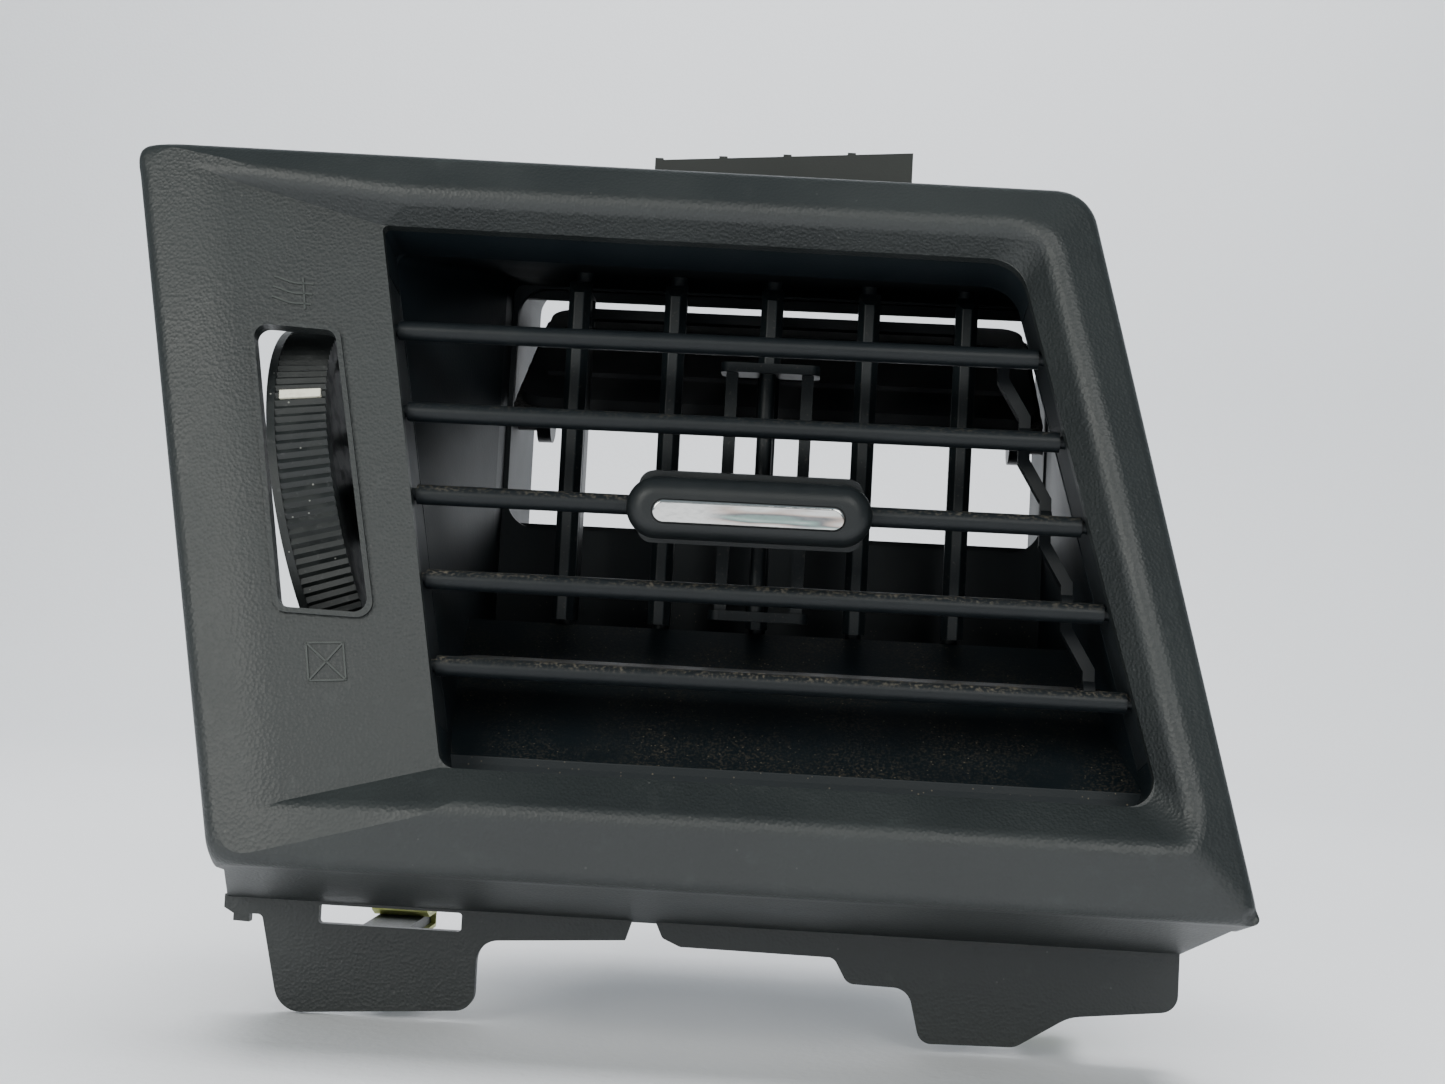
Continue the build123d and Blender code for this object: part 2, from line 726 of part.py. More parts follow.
# Bearing strips of the front vanes
for side, way, label in ((mouth_left, -1, "left_pivot_strip"), (mouth_right, 1, "right_pivot_strip")):
    with BuildPart() as strip:
        with BuildSketch(face(strip_front)):
            Polygon(*strip_points(side, way), align=None)
        extrude(amount=-strip_depth)
        for row in vane_rows:
            with BuildSketch(vane_section(row, side[0] - side[1] * row)):
                Circle(pin_radius + pin_fit)
            extrude(amount=6, both=True, mode=Mode.SUBTRACT)
    finish(strip.part, label)

# Front vanes: round nose, tapering blade, pins in the strips and a pin for the link
for row, label in zip(vane_rows, vane_names):
    left, right = vane_left(row), vane_right(row)
    eye = right - link_inset
    with BuildPart() as vane:
        with BuildSketch(vane_section(row, left)):
            Circle(vane_nose)
            Polygon(
                (0, vane_root / 2),
                (vane_chord, vane_tip / 2),
                (vane_chord, -vane_tip / 2),
                (0, -vane_root / 2),
                align=None,
            )
        extrude(amount=right - left)
        with BuildSketch(Plane(origin=vane_section(row, left).origin, x_dir=(1, 0, 0), z_dir=rise_way)):
            Polygon((-1, left_trim_start), (left_trim, vane_chord + 1), (-1, vane_chord + 1), align=None)
            Polygon(
                (right - left, right_trim_start),
                (right - left - right_trim, vane_chord + 1),
                (right - left + 1, vane_chord + 1),
                (right - left + 1, right_trim_start),
                align=None,
            )
            with Locations((eye - left, (notch_front + vane_chord + 1) / 2)):
                Rectangle(2 * notch_half, vane_chord + 1 - notch_front)
        extrude(amount=3, both=True, mode=Mode.SUBTRACT)
        with BuildSketch(vane_section(row, left - vane_gap - pin_length)):
            Circle(pin_radius)
        extrude(amount=right - left + 2 * vane_gap + 2 * pin_length)
        with BuildSketch(vane_section(row, eye - notch_half)):
            with Locations((crank_back, 0)):
                Circle(crank_pin)
        extrude(amount=2 * notch_half)
    finish(vane.part, label)

# Link of the front vanes: an eye at each vane and a zig-zag bar between them
crank_up = crank_back * sin(radians(vane_rise + face_lean))
crank_in = -crank_back * cos(radians(vane_rise + face_lean))
eyes = [(vane_right(row) - link_inset, row + crank_up) for row in vane_rows]
with BuildPart() as front_link:
    with BuildSketch(face(crank_in - link_width / 2)):
        with BuildLine() as course:
            points = []
            for index, eye in enumerate(eyes):
                if index > 0:
                    points.append((eye[0], eye[1] + link_straight))
                points.append(eye)
                if index < vane_count - 1:
                    points.append((eye[0], eye[1] - link_straight))
            Polyline(*points)
        trace(line_width=link_width)
    extrude(amount=link_width)
    for eye in eyes:
        centre = spot(eye, crank_in)
        with BuildSketch(Plane(origin=centre, x_dir=(0, 1, 0), z_dir=(1, 0, 0))):
            Circle(link_eye)
        extrude(amount=link_width / 2, both=True)
    for eye in eyes:
        centre = spot(eye, crank_in)
        with BuildSketch(Plane(origin=centre, x_dir=(0, 1, 0), z_dir=(1, 0, 0))):
            Circle(crank_pin + pin_fit)
        extrude(amount=link_width, both=True, mode=Mode.SUBTRACT)
finish(front_link.part, "front_vane_link")

# Rear vanes, with a cage on the middle one
rear_half = [
    (rear_face, rear_front), (rear_nose, rear_front + rear_cheek), (rear_nose, rear_front + rear_waist),
    (rear_wall / 2, rear_front + rear_taper), (rear_wall / 3, rear_back),
]
rear_section = rear_half + [(-half, depth) for half, depth in reversed(rear_half)]
cage_span = cage_right - cage_left + 2 * cage_post
rear_section_radii = (0.5, 0.5, 0.5, 0, 0, 0, 0, 0.5, 0.5, 0.5)
for index in range(vane_count):
    across = rear_pitch * (index - 2)
    with BuildPart() as vane:
        with BuildSketch(level(rear_low)):
            panel([(across + half, depth) for half, depth in rear_section], rear_section_radii)
        extrude(amount=rear_top - rear_low)
        with BuildSketch(sideways(across - rear_nose - 1)):
            Polygon(
                (rear_front - 1, rear_top - rear_slope - 1),
                (rear_front - 1, rear_top + 1),
                (rear_front + rear_slope + 1, rear_top + 1),
                align=None,
            )
        extrude(amount=2 * rear_nose + 2, mode=Mode.SUBTRACT)
        with BuildSketch(level(rear_link_height - rear_notch / 2)):
            with Locations((across, rear_back)):
                Rectangle(3 * rear_nose, 2 * (rear_back - rear_pivot - rear_notch_front))
        extrude(amount=rear_notch, mode=Mode.SUBTRACT)
        with BuildSketch(level(rear_pin_low)):
            with Locations((across, rear_pivot)):
                Circle(rear_pin)
        extrude(amount=rear_pin_top - rear_pin_low)
        with BuildSketch(level(rear_link_height - rear_notch / 2)):
            with Locations((across, rear_pivot + rear_crank)):
                Circle(crank_pin)
        extrude(amount=rear_notch)
        if index == 2:
            with BuildSketch(level(fork_room_low)):
                with Locations((across, (rear_front + fork_room_end) / 2)):
                    Rectangle(3 * rear_nose, fork_room_end - rear_front)
            extrude(amount=fork_room_high - fork_room_low, mode=Mode.SUBTRACT)
            for height in (cage_high, cage_low):
                with BuildSketch(level(height)):
                    with Locations(((cage_left + cage_right) / 2, rear_pivot - cage_reach + cage_plate_shift)):
                        RectangleRounded(cage_span, cage_plate_width, cage_plate_round)
                extrude(amount=cage_plate)
            with BuildSketch(level(cage_low)):
                with Locations((across, rear_pivot - cage_reach)):
                    Circle(cage_rod)
                with Locations((cage_left, rear_pivot - cage_reach), (cage_right, rear_pivot - cage_reach)):
                    Rectangle(cage_post, cage_post)
            extrude(amount=cage_high - cage_low + cage_plate)
    finish(vane.part, "rear_vane_%d" % (index + 1))

rear_eyes = [(rear_pitch * (index - 2), rear_pivot + rear_crank) for index in range(vane_count)]
with BuildPart() as rear_link:
    with BuildSketch(level(rear_link_height - rear_link_wall / 2)):
        with Locations((0, rear_pivot + rear_crank)):
            SlotCenterToCenter(rear_pitch * (vane_count - 1), 2 * rear_link_half)
        with Locations(*rear_eyes):
            Circle(crank_pin + pin_fit, mode=Mode.SUBTRACT)
    extrude(amount=rear_link_wall)
finish(rear_link.part, "rear_vane_link")

# Damper: blade with arms and stub shafts, foam, lever and rod
arm_inner = damper_half_width - arm_wall
blade_way = Vector(0, cos(radians(damper_tilt)), sin(radians(damper_tilt)))
lift_way = Vector(0, -sin(radians(damper_tilt)), cos(radians(damper_tilt)))
blade_plane = Plane(origin=pivot, x_dir=(1, 0, 0), z_dir=lift_way)


def damper_side(across):
    return Plane(origin=pivot + Vector(across, 0, 0), x_dir=blade_way, z_dir=(1, 0, 0))


with BuildPart() as damper_plate:
    with BuildSketch(blade_plane.offset(damper_lift - damper_wall / 2)):
        RectangleRounded(2 * damper_half_width, 2 * damper_half, damper_round)
    extrude(amount=damper_wall)
    with BuildSketch(blade_plane.offset(damper_lift)):
        with GridLocations(0, damper_half, 1, 2):
            Rectangle(2 * (damper_half_width - blade_rib_inset), blade_rib)
    extrude(amount=damper_wall / 2 + blade_rib_stand)
    for way in (-1, 1):
        with BuildSketch(damper_side(way * arm_inner)):
            Circle(boss_radius)
            Polygon(
                (-boss_radius, 0),
                (-arm_spread, damper_lift),
                (arm_spread, damper_lift),
                (boss_radius, 0),
                align=None,
            )
        extrude(amount=way * arm_wall)
    with BuildSketch(damper_side(arm_inner)):
        Circle(shaft_radius)
    extrude(amount=duct_half_width + wall + boss_length - arm_inner)
    with BuildSketch(damper_side(-arm_inner)):
        Circle(shaft_radius)
    extrude(amount=lever_outer - face_shift + arm_inner)
finish(damper_plate.part, "damper_plate")

with BuildPart() as damper_foam:
    with BuildSketch(blade_plane.offset(damper_lift - damper_wall / 2)):
        RectangleRounded(2 * (damper_half_width + foam_edge), 2 * (damper_half + foam_edge), foam_round)
        with GridLocations(2 * (damper_half_width - arm_wall / 2), 0, 2, 1):
            Rectangle(arm_wall + 2 * foam_gap, 2 * (arm_spread + foam_gap), mode=Mode.SUBTRACT)
    extrude(amount=-foam_wall)
finish(damper_foam.part, "damper_foam")

crank_way = Vector(0, cos(radians(crank_angle)), sin(radians(crank_angle)))
lever_plane = Plane(origin=pivot + Vector(lever_outer - face_shift, 0, 0), x_dir=crank_way, z_dir=(1, 0, 0))
with BuildPart() as damper_lever:
    with BuildSketch(lever_plane):
        Circle(boss_radius)
        with Locations((crank / 2, 0)):
            SlotCenterToCenter(crank, lever_width)
        Circle(shaft_radius + lever_fit, mode=Mode.SUBTRACT)
    extrude(amount=lever_wall)
    with BuildSketch(lever_plane):
        with Locations((crank, 0)):
            Circle(rod_pin)
    extrude(amount=rod_middle - rod_wall / 2 - 1 - lever_outer)
finish(damper_lever.part, "damper_lever")

# Thumb wheel: ribbed cone on a web, turned about the slanted axle
def wheel_plane(along):
    return Plane(origin=axle + axle_way * along, x_dir=front_way, z_dir=axle_way)


def rim_sketch(along, ribbed):
    """Sector of the rim at a place along the axle."""
    radius = wheel_radius - (along + wheel_width / 2) * tan(radians(wheel_cone))
    inner = wheel_radius - rim_wall - (wheel_width + 1) * tan(radians(wheel_cone))
    count = int(2 * wheel_sweep / degrees(rib_pitch / wheel_radius))
    step = 2 * wheel_sweep / count
    points = []
    for index in range(2 * count + 1):
        angle = radians(-wheel_sweep + step * index / 2)
        dip = rib_depth if ribbed and index % 2 == 0 else 0.0
        points.append(((radius - dip) * cos(angle), (radius - dip) * sin(angle)))
    for index in range(count, -1, -1):
        angle = radians(-wheel_sweep + step * index)
        points.append((inner * cos(angle), inner * sin(angle)))
    Polygon(*points, align=None)


with BuildPart() as wheel:
    for along in (-wheel_width / 2 + wheel_border, wheel_width / 2):
        with BuildSketch(wheel_plane(along)):
            rim_sketch(along, True)
    loft(ruled=True)
    for along in (-wheel_width / 2, -wheel_width / 2 + wheel_border):
        with BuildSketch(wheel_plane(along)):
            rim_sketch(along, False)
    loft(ruled=True)
    with BuildSketch(wheel_plane(-web_wall / 2)):
        with BuildLine():
            arc = CenterArc((0, 0), wheel_radius - rim_wall - 1, -wheel_sweep, 2 * wheel_sweep)
            Line(arc @ 1, (0, 0))
            Line((0, 0), arc @ 0)
        make_face()
        Circle(hub_radius + 2)
    extrude(amount=web_wall)
    with BuildSketch(wheel_plane(-wheel_width / 2 + hub_inset)):
        Circle(hub_radius)
    extrude(amount=wheel_width / 2 - hub_inset + axle_seat - hub_gap)
    with BuildSketch(Plane(origin=crank_at, x_dir=front_way, z_dir=axle_way)):
        Circle(rod_pin)
    extrude(amount=(rod_cross - crank_at).length)
    with Locations(rod_cross):
        Sphere(rod_ball)
    with BuildSketch(wheel_plane(-wheel_width)):
        Circle(axle_radius + pin_fit)
    extrude(amount=3 * wheel_width, mode=Mode.SUBTRACT)


# Cream mark let into the rim's ribs
def mark_sector(along, outer, inner):
    radius = wheel_radius - (along + wheel_width / 2) * tan(radians(wheel_cone))
    half = radians(mark_half)
    middle = radians(mark_angle) * mark_sense
    points = []
    for reach in (outer, inner):
        for turn in (-1, 0, 1):
            angle = middle + turn * half * (1 if reach == outer else -1)
            points.append(((radius + reach) * cos(angle), (radius + reach) * sin(angle)))
    Polygon(*points, align=None)


mark_low = -wheel_width / 2 + wheel_border + mark_inset
mark_high = wheel_width / 2 - mark_inset
with BuildPart() as mark_seat:
    for along in (mark_low - 0.05, mark_high + 0.05):
        with BuildSketch(wheel_plane(along)):
            mark_sector(along, 1.0, -mark_depth)
    loft(ruled=True)
with BuildPart() as wheel_mark:
    for along in (mark_low, mark_high):
        with BuildSketch(wheel_plane(along)):
            mark_sector(along, mark_stand, -mark_depth)
    loft(ruled=True)
with BuildPart() as thumb_wheel:
    add(wheel.part)
    add(mark_seat.part, mode=Mode.SUBTRACT)
finish(thumb_wheel.part, "thumb_wheel")
finish(wheel_mark.part, "wheel_mark")

# Shouldered screw that the wheel turns on
with BuildPart() as wheel_axle:
    with BuildSketch(wheel_plane(-wheel_width / 2 + hub_inset - pin_fit)):
        Circle(hub_radius - 1)
    extrude(amount=-axle_head)
    with BuildSketch(wheel_plane(-wheel_width / 2 + hub_inset - pin_fit)):
        Circle(axle_radius)
    extrude(amount=wheel_width / 2 - hub_inset + pin_fit + axle_seat)
    with BuildSketch(wheel_plane(axle_seat)):
        Circle(axle_thread)
    extrude(amount=axle_screw - 1)
    with BuildSketch(wheel_plane(-wheel_width / 2 + hub_inset - axle_head)):
        RectangleRounded(axle_slot_length, axle_slot_width, axle_slot_round)
        RectangleRounded(axle_slot_width, axle_slot_length, axle_slot_round)
    extrude(amount=axle_slot_depth, mode=Mode.SUBTRACT)
finish(wheel_axle.part, "wheel_axle")

# Rod from the wheel's crank to the damper's lever
rod_start = Vector(0, rod_cross.Y, rod_cross.Z)
rod_end = Vector(0, pivot.Y + crank * crank_way.Y, pivot.Z + crank * crank_way.Z)
rod_reach = (rod_end - rod_start).length
rod_origin = Vector(nose.X + rod_middle, 0, 0) + (rod_start + rod_end) * 0.5
with BuildPart() as damper_rod:
    with BuildSketch(Plane(origin=rod_origin, x_dir=(rod_end - rod_start), z_dir=(1, 0, 0))):
        SlotCenterToCenter(rod_reach, rod_width)
        with Locations((-rod_reach / 2, 0), (rod_reach / 2, 0)):
            Circle(rod_eye)
        with Locations((-rod_reach / 2, 0)):
            Circle(rod_ball + pin_fit, mode=Mode.SUBTRACT)
        with Locations((rod_reach / 2, 0)):
            Circle(rod_pin + rod_slack, mode=Mode.SUBTRACT)
    extrude(amount=rod_wall / 2, both=True)
finish(damper_rod.part, "damper_rod")

# Knob on the middle vane: shell, bright insert, friction pad and fork
grip_plane = Plane(origin=nose + Vector(knob_shift, 0, 0), x_dir=(1, 0, 0), z_dir=back_way * -1)
with BuildPart() as knob_shell:
    with BuildSketch(grip_plane.offset(-1)):
        SlotOverall(knob_length, knob_height)
    extrude(amount=knob_front + 1)
    fillet(faces().sort_by(Axis(grip_plane.origin, grip_plane.z_dir))[-1].edges(), knob_crown)
    with BuildSketch(grip_plane.offset(-knob_back)):
        RectangleRounded(shoulder_length, shoulder_height, shoulder_round)
    extrude(amount=knob_back + shoulder_front)
    with BuildSketch(grip_plane.offset(channel_half + 0.1)):
        Rectangle(knob_length + 10, 2 * channel_half)
    extrude(amount=-knob_back - 10, mode=Mode.SUBTRACT)
    with BuildSketch(grip_plane.offset(-fork_start + 0.1)):
        Rectangle(fork_width + 0.2, 2 * (fork_half + fork_wall))
    extrude(amount=-knob_back, mode=Mode.SUBTRACT)
    with BuildSketch(grip_plane.offset(knob_front - trim_depth)):
        with Locations((0, -trim_drop)):
            SlotOverall(trim_length + 2 * trim_fit, trim_height + 2 * trim_fit)
    extrude(amount=trim_depth + 1, mode=Mode.SUBTRACT)
    with BuildSketch(grip_plane.offset(channel_half)):
        Rectangle(pad_length + 0.1, pad_height + 0.1)
    extrude(amount=pad_wall, mode=Mode.SUBTRACT)
finish(knob_shell.part, "knob_shell")

with BuildPart() as knob_trim:
    with BuildSketch(grip_plane.offset(knob_front - trim_depth)):
        with Locations((0, -trim_drop)):
            SlotOverall(trim_length, trim_height)
    extrude(amount=trim_depth + trim_stand)
    fillet(faces().sort_by(Axis(grip_plane.origin, grip_plane.z_dir))[-1].edges(), trim_stand * 0.9)
finish(knob_trim.part, "knob_trim")

with BuildPart() as knob_pad:
    with BuildSketch(grip_plane.offset(vane_nose + 0.05)):
        Rectangle(pad_length, pad_height)
    extrude(amount=channel_half + pad_wall - vane_nose - 0.1)
finish(knob_pad.part, "knob_pad")

with BuildPart() as knob_fork:
    for way in (-1, 1):
        start = grip_plane.origin + rise_way * (way * fork_half)
        with BuildSketch(Plane(origin=start, x_dir=(1, 0, 0), z_dir=rise_way)):
            with Locations((0, (fork_start + fork_bridge) / 2)):
                Rectangle(fork_width, fork_bridge - fork_start)
        extrude(amount=way * fork_wall)
    with BuildSketch(Plane(origin=grip_plane.origin, x_dir=(1, 0, 0), z_dir=rise_way)):
        with Locations((0, fork_bridge - fork_bridge_wall / 2)):
            Rectangle(fork_width, fork_bridge_wall)
    extrude(amount=fork_half + fork_wall, both=True)
    with BuildSketch(Plane(origin=grip_plane.origin, x_dir=(1, 0, 0), z_dir=rise_way)):
        prong = cage_rod + fork_fit + fork_prong
        with Locations((-knob_shift, (fork_bridge + fork_end) / 2)):
            Rectangle(2 * prong, fork_end - fork_bridge)
            with Locations((0, fork_slot)):
                Rectangle(2 * (cage_rod + fork_fit), fork_end - fork_bridge, mode=Mode.SUBTRACT)
    extrude(amount=fork_half + fork_wall, both=True)
finish(knob_fork.part, "knob_fork")

# Soft seal round the collar
seal_width, seal_height = sleeve_width + 2 * seal_wall, sleeve_height + 2 * seal_wall
with BuildPart() as duct_seal:
    with BuildSketch(upright(collar_depth - seal_inset)):
        with Locations(duct_centre):
            RectangleRounded(seal_width, seal_height, sleeve_round + seal_wall)
            RectangleRounded(sleeve_width, sleeve_height, sleeve_round, mode=Mode.SUBTRACT)
    extrude(amount=seal_length)
finish(duct_seal.part, "duct_seal")

# Screws that hold the housing to the bezel
with BuildPart() as housing_screws:
    for place in screw_places:
        with BuildSketch(face(strip_front - housing_flange)):
            with Locations(place):
                Circle(screw_head)
        extrude(amount=-screw_head_wall)
        with BuildSketch(face(strip_front - housing_flange)):
            with Locations(place):
                Circle(screw_radius)
        extrude(amount=housing_flange + screw_length - 1)
    for place in screw_places:
        with BuildSketch(face(strip_front - housing_flange - screw_head_wall)):
            with Locations(place):
                Rectangle(screw_slot_length, screw_slot_width)
                Rectangle(screw_slot_width, screw_slot_length)
        extrude(amount=screw_slot_depth, mode=Mode.SUBTRACT)
finish(housing_screws.part, "housing_screws")

# Spring clips pushed on to the tongues
clip_bend = clip_tongue / 2 + clip_fit + clip_sheet / 2
for index, (across, start, height) in enumerate(clip_places):
    with BuildPart() as clip:
        with BuildSketch(sideways(across - clip_width / 2)):
            with BuildLine():
                Polyline(
                    (tongue_end - clip_length, height + clip_bend + clip_flare),
                    (tongue_end - clip_length * clip_straight, height + clip_bend),
                    (tongue_end + clip_fit + clip_sheet / 2, height + clip_bend),
                    (tongue_end + clip_fit + clip_sheet / 2, height - clip_bend),
                    (tongue_end - clip_length * clip_straight, height - clip_bend),
                    (tongue_end - clip_length, height - clip_bend - clip_flare),
                )
            trace(line_width=clip_sheet)
        extrude(amount=clip_width)
    finish(clip.part, "retaining_clip_%d" % (index + 1))
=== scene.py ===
import math

import bpy
from mathutils import Matrix, Vector, noise
from mathutils.bvhtree import BVHTree


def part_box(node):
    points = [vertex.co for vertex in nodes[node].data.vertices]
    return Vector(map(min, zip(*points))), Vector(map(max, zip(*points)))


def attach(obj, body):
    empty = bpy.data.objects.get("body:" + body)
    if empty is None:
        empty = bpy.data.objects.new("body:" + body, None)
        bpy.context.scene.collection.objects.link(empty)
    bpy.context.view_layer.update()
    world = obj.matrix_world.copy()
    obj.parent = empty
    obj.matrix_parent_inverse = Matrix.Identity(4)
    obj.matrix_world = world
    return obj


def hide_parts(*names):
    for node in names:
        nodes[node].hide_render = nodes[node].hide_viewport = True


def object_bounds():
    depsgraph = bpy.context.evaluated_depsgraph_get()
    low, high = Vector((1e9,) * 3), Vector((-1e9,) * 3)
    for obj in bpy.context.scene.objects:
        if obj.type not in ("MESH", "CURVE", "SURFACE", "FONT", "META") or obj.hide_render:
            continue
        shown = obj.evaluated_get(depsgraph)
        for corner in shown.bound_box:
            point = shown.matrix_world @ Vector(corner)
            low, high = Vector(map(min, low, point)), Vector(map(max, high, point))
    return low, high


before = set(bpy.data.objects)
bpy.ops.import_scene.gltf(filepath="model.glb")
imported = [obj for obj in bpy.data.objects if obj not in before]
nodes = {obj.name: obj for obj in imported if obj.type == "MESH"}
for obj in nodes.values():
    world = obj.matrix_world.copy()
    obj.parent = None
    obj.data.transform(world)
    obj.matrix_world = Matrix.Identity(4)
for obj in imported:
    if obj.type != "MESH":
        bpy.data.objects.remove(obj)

cad_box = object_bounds()


# Bezel
# Moulded in one shot from charcoal polypropylene, with a fine leather grain etched into the
# tool. Handling has rubbed it paler in patches, and lint clings to it here and there.
class Signal:
    """A value on its way through a material; sums and products of signals add Math nodes."""

    def __init__(self, tree, socket):
        self.tree, self.socket = tree, socket

    def node(self, kind, settings=(), links=(), out=0):
        """Any node: its settings are set first, then the values or signals of its sockets."""
        made = self.tree.nodes.new(kind)
        for name, value in dict(settings).items():
            if name == "stops":
                for place, stop in enumerate(value):
                    if place > 1:
                        made.color_ramp.elements.new(stop[0])
                    made.color_ramp.elements[place].position = stop[0]
                    made.color_ramp.elements[place].color = (*stop[1], 1.0)
            else:
                setattr(made, name, value)
        for name, value in dict(links).items():
            if isinstance(value, Signal):
                self.tree.links.new(value.socket, made.inputs[name])
            else:
                made.inputs[name].default_value = value
        return Signal(self.tree, made.outputs[out])

    def worked(self, operation, first, second):
        return self.node("ShaderNodeMath", {"operation": operation}, {0: first, 1: second})

    def __add__(self, other):
        return self.worked("ADD", self, other)

    def __radd__(self, other):
        return self.worked("ADD", other, self)

    def __sub__(self, other):
        return self.worked("SUBTRACT", self, other)

    def __rsub__(self, other):
        return self.worked("SUBTRACT", other, self)

    def __mul__(self, other):
        return self.worked("MULTIPLY", self, other)

    def __rmul__(self, other):
        return self.worked("MULTIPLY", other, self)

    def between(self, low, high):
        """0 under low, 1 over high, with a soft step from one to the other."""
        links = {"Value": self, "From Min": low, "From Max": high}
        return self.node("ShaderNodeMapRange", {"interpolation_type": "SMOOTHSTEP"}, links)

    def noise(self, size, detail=2.0):
        """Cloudy noise whose lumps are about size metres wide."""
        links = {"Vector": self, "Scale": 1.0 / size, "Detail": detail}
        return self.node("ShaderNodeTexNoise", {}, links)

    def cells(self, size):
        """Distance from the middles of cells about size metres wide."""
        links = {"Vector": self, "Scale": 1.0 / size}
        return self.node("ShaderNodeTexVoronoi", {}, links)

    def blend(self, first, second):
        """A colour between two, by this signal."""
        links = {0: self, 6: first, 7: second}
        return self.node("ShaderNodeMix", {"data_type": "RGBA"}, links, out=2)

    def axis(self, letter):
        """One of the signal's three coordinates."""
        return self.node("ShaderNodeSeparateXYZ", {}, {0: self}, out="XYZ".index(letter))


def rgb(red, green, blue):
    """An opaque colour."""
    return (red, green, blue, 1.0)


class Finish:
    """A material under way: its shader, where a point lies on the part, and which way it faces."""

    def __init__(self, name):
        self.material = bpy.data.materials.new(name)
        self.material.use_nodes = True
        tree = self.material.node_tree
        self.shader = tree.nodes["Principled BSDF"]
        self.place = Signal(tree, tree.nodes.new("ShaderNodeTexCoord").outputs["Object"])
        self.facing = Signal(tree, tree.nodes.new("ShaderNodeNewGeometry").outputs["Normal"])

    def give(self, **values):
        """Sets the shader's sockets, from their names with underscores."""
        for name, value in values.items():
            socket = self.shader.inputs[name.replace("_", " ")]
            if isinstance(value, Signal):
                value.tree.links.new(value.socket, socket)
            else:
                socket.default_value = value

    def bumps(self, height, depth):
        """Relief of a depth in metres from a height signal."""
        links = {"Height": height, "Distance": depth, "Strength": 1.0}
        self.give(Normal=height.node("ShaderNodeBump", {}, links))


def coat(finish, *names):
    """Puts a finish on carried-over nodes."""
    for name in names:
        for place in nodes[name].material_slots:
            place.material = finish.material


grain_cell, grain_depth = 0.0006, 0.00007
crease_size = 0.0005
mottle_size, wear_size = 0.02, 0.0042
lint_spacing = 0.0052

bezel_grain = Finish("charcoal_leather_grain")
creases = bezel_grain.place.noise(crease_size)
pebbles = bezel_grain.place.cells(grain_cell) + 0.3 * creases
mottle = bezel_grain.place.noise(mottle_size, 4.0).between(0.3, 0.75)
wear = bezel_grain.place.noise(wear_size, 5.0).between(0.58, 0.78)
lint = bezel_grain.place.cells(lint_spacing).between(0.05, 0.03)
charcoal = mottle.blend(rgb(0.0105, 0.0132, 0.0134), rgb(0.0145, 0.0180, 0.0178))
rubbed = (wear * 0.3).blend(charcoal, rgb(0.030, 0.035, 0.034))
bezel_grain.give(
    Base_Color=(lint * 0.2).blend(rubbed, rgb(0.14, 0.14, 0.13)),
    Roughness=0.42 + 0.07 * mottle + 0.06 * creases,
    Specular_IOR_Level=0.6,
)
bezel_grain.bumps(pebbles, grain_depth)
coat(bezel_grain, "bezel")


# Symbols on the panel
# Thin raised strokes from the same tool: three draughts through an upright bar over the wheel
# for open, and a crossed box under it for shut. Their tops are polished, and their colour is
# painted paler than the grain as painted sheen. Places on the leaning face are in millimetres.
nose = Vector((-0.001, -0.112, -0.0235))
lean = math.radians(12.0)
face_up = Vector((0.0, math.sin(lean), math.cos(lean)))
face_out = Vector((0.0, -math.cos(lean), math.sin(lean)))
millimetres = 1000.0
stroke_width = 0.0005
stroke_height = 0.00026
stroke_step = 0.0006
stroke_section = ((-1.0, -0.5), (-0.6, 1.0), (0.6, 1.0), (1.0, -0.5))
ray_start = 0.03

shell_points = [v.co.copy() for v in nodes["bezel"].data.vertices]
shell_faces = [tuple(p.vertices) for p in nodes["bezel"].data.polygons]
bezel_skin = BVHTree.FromPolygons(shell_points, shell_faces)


def on_panel(across, up):
    """Point of the bezel's skin straight behind a place on the leaning face, and its normal."""
    sideways = Vector((across / millimetres, 0.0, 0.0))
    start = nose + sideways + face_up * (up / millimetres) + face_out * ray_start
    hit, normal, _, _ = bezel_skin.ray_cast(start, -face_out)
    return hit, normal


def mesh_piece(name, points, faces, smooth=True):
    """A piece of the scene from its points and faces."""
    mesh = bpy.data.meshes.new(name)
    mesh.from_pydata([tuple(p) for p in points], [], faces)
    mesh.validate()
    for face in mesh.polygons:
        face.use_smooth = smooth
    piece = bpy.data.objects.new(name, mesh)
    bpy.context.scene.collection.objects.link(piece)
    return piece


def strokes(name, lines):
    """Raised strokes along lines on the panel, each with a flat-topped section."""
    points, faces = [], []
    sides = len(stroke_section)
    for line in lines:
        track = []
        for (a, b), (c, d) in zip(line, line[1:]):
            count = max(2, int(math.hypot(c - a, d - b) / millimetres / stroke_step))
            for step in range(count):
                track.append((a + (c - a) * step / count, b + (d - b) * step / count))
        track.append(line[-1])
        seats = [on_panel(*place) for place in track]
        first = len(points)
        for index, (seat, normal) in enumerate(seats):
            before = seats[max(index - 1, 0)][0]
            after = seats[min(index + 1, len(seats) - 1)][0]
            side = (after - before).normalized().cross(normal) * (stroke_width / 2)
            for reach, rise in stroke_section:
                points.append(seat + side * reach + normal * (stroke_height * rise))
        for index in range(len(seats) - 1):
            ring = first + sides * index
            for corner in range(sides):
                turned = (corner + 1) % sides
                faces.append((ring + corner, ring + turned, ring + sides + turned, ring + sides + corner))
        faces.append(tuple(first + corner for corner in reversed(range(sides))))
        faces.append(tuple(len(points) - sides + corner for corner in range(sides)))
    return mesh_piece(name, points, faces, smooth=False)


